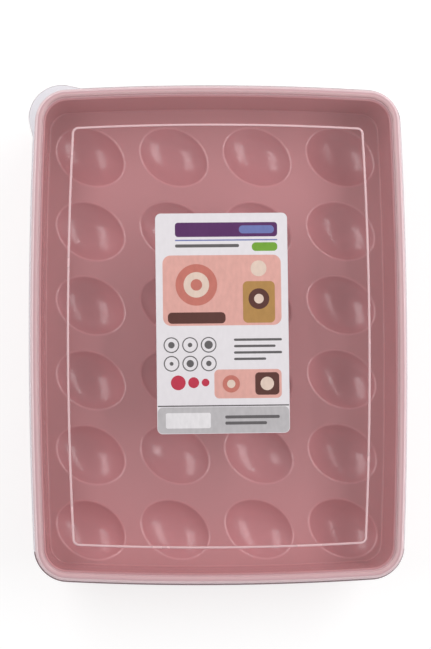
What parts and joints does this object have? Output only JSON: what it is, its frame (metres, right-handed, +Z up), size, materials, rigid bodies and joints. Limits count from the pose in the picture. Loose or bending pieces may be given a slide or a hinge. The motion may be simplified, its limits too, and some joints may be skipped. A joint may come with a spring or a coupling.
{
  "type": "egg storage container",
  "caption": "Shallow rectangular egg storage container: an opaque moulded tray with rows of tilted egg-shaped cups under a clear press-on lid with a stacking bead and a corner pull tab.",
  "frame": {"origin": "centre of the bounding box in plan, on the plane of the feet of the cups", "axes": "+X along the width, +Y along the length with the pull tab at the -X +Y corner, +Z up through the lid"},
  "size_m": [0.237, 0.313, 0.06],
  "materials": {
    "tray_plastic": "satin dusty-rose moulded polypropylene",
    "lid_plastic": "clear glossy moulded polypropylene",
    "label_paper": "coated white paper"
  },
  "bodies": {
    "tray": {"tray": "tray_plastic"},
    "lid": {"lid": "lid_plastic", "label": "label_paper"}
  },
  "joints": [
    {"name": "lid_lift", "type": "slide", "parent": "tray", "child": "lid", "axis": [0, 0, 1], "range_m": [0, 0.12]}
  ]
}
